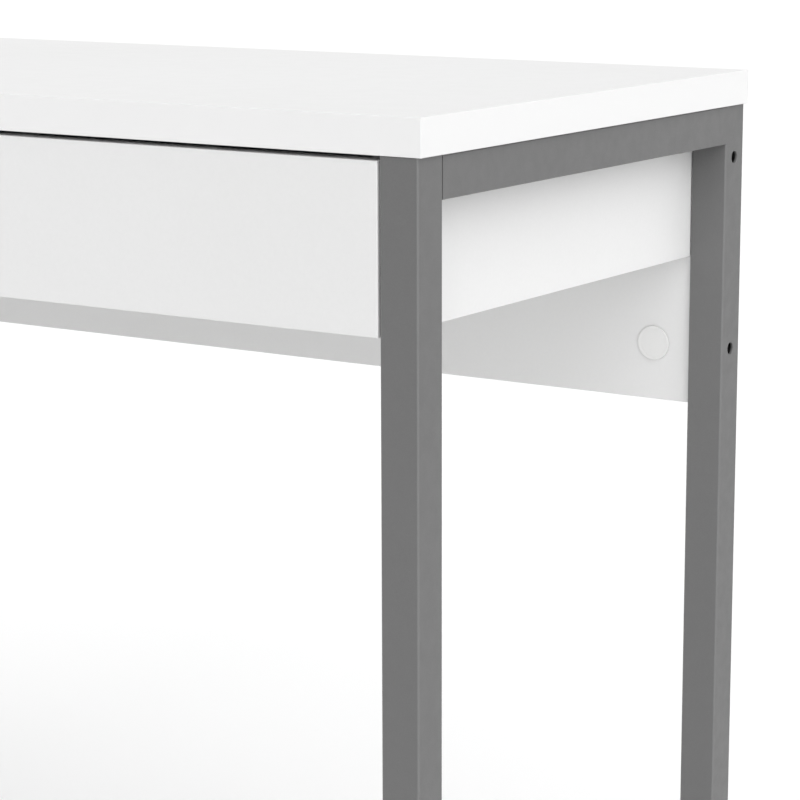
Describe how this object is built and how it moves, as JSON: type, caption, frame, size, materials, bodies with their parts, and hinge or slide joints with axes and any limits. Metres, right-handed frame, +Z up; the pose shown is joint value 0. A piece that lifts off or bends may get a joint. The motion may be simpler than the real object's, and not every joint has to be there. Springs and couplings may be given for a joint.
{
  "type": "desk with under desk drawer",
  "caption": "Narrow white desk on grey square steel legs, with a wide drawer that slides on roller runners directly under its top.",
  "frame": {"origin": "on the floor, below the middle of the desktop", "axes": "+X to the right of someone facing the drawer, +Y from the drawer front to the back panel, +Z up"},
  "size_m": [1, 0.4, 0.75],
  "materials": {
    "white_laminate": "satin white melamine",
    "white_hardboard": "painted hardboard",
    "grey_frame": "satin powder coat",
    "glide_plastic": "moulded",
    "cap_plastic": "moulded",
    "roller_nylon": "moulded",
    "coated_steel": "smooth epoxy coat",
    "zinc_steel": "zinc plated"
  },
  "bodies": {
    "desk": {"back_panel": "white_laminate", "back_panel_bolt_lower_left": "zinc_steel", "back_panel_bolt_lower_right": "zinc_steel", "back_panel_bolt_upper_left": "zinc_steel", "back_panel_bolt_upper_right": "zinc_steel", "back_panel_cam_lower_left": "zinc_steel", "back_panel_cam_lower_right": "zinc_steel", "back_panel_cam_upper_left": "zinc_steel", "back_panel_cam_upper_right": "zinc_steel", "cam_cap_lower_left": "cap_plastic", "cam_cap_lower_right": "cap_plastic", "cam_cap_upper_left": "cap_plastic", "cam_cap_upper_right": "cap_plastic", "case_roller_axle_left": "zinc_steel", "case_roller_axle_right": "zinc_steel", "case_runner_left": "coated_steel", "case_runner_right": "coated_steel", "case_runner_screw_front_left": "zinc_steel", "case_runner_screw_front_right": "zinc_steel", "case_runner_screw_rear_left": "zinc_steel", "case_runner_screw_rear_right": "zinc_steel", "desktop": "white_laminate", "desktop_screw_front_left": "zinc_steel", "desktop_screw_front_right": "zinc_steel", "desktop_screw_rear_left": "zinc_steel", "desktop_screw_rear_right": "zinc_steel", "floor_glide_front_left": "glide_plastic", "floor_glide_front_right": "glide_plastic", "floor_glide_rear_left": "glide_plastic", "floor_glide_rear_right": "glide_plastic", "leg_front_left": "grey_frame", "leg_front_right": "grey_frame", "leg_rear_left": "grey_frame", "leg_rear_right": "grey_frame", "side_panel_left": "white_laminate", "side_panel_right": "white_laminate", "side_panel_screw_front_left": "zinc_steel", "side_panel_screw_front_right": "zinc_steel", "side_panel_screw_rear_left": "zinc_steel", "side_panel_screw_rear_right": "zinc_steel", "side_rail_left": "grey_frame", "side_rail_right": "grey_frame"},
    "drawer": {"drawer_front": "white_laminate", "drawer_side_left": "white_laminate", "drawer_side_right": "white_laminate", "drawer_back": "white_laminate", "drawer_bottom": "white_hardboard", "drawer_stiffener": "white_laminate", "drawer_cam_left": "zinc_steel", "drawer_cam_right": "zinc_steel", "drawer_cam_bolt_left": "zinc_steel", "drawer_cam_bolt_right": "zinc_steel", "drawer_runner_left": "coated_steel", "drawer_runner_right": "coated_steel", "drawer_roller_axle_left": "zinc_steel", "drawer_roller_axle_right": "zinc_steel"},
    "case_roller_left": {"case_roller_left": "roller_nylon"},
    "case_roller_right": {"case_roller_right": "roller_nylon"},
    "drawer_roller_left": {"drawer_roller_left": "roller_nylon"},
    "drawer_roller_right": {"drawer_roller_right": "roller_nylon"}
  },
  "joints": [
    {"name": "drawer_slide", "type": "slide", "parent": "desk", "child": "drawer", "axis": [0, -1, 0], "range_m": [0, 0.262]},
    {"name": "case_roller_left_turn", "type": "hinge", "parent": "desk", "child": "case_roller_left", "pos_m": [-0.4492, -0.164, 0.6478], "axis": [1, 0, 0], "range_deg": [0, 1616]},
    {"name": "case_roller_right_turn", "type": "hinge", "parent": "desk", "child": "case_roller_right", "pos_m": [0.4492, -0.164, 0.6478], "axis": [1, 0, 0], "range_deg": [0, 1616]},
    {"name": "drawer_roller_left_turn", "type": "hinge", "parent": "drawer", "child": "drawer_roller_left", "pos_m": [-0.449, 0.1533, 0.6462], "axis": [1, 0, 0], "range_deg": [0, 1878]},
    {"name": "drawer_roller_right_turn", "type": "hinge", "parent": "drawer", "child": "drawer_roller_right", "pos_m": [0.449, 0.1533, 0.6462], "axis": [1, 0, 0], "range_deg": [0, 1878]}
  ],
  "couplings": [
    {"joint": "case_roller_left_turn", "follows": "drawer_slide", "rad_per_m": 107.53},
    {"joint": "case_roller_right_turn", "follows": "drawer_slide", "rad_per_m": 107.53},
    {"joint": "drawer_roller_left_turn", "follows": "drawer_slide", "rad_per_m": 125},
    {"joint": "drawer_roller_right_turn", "follows": "drawer_slide", "rad_per_m": 125}
  ]
}
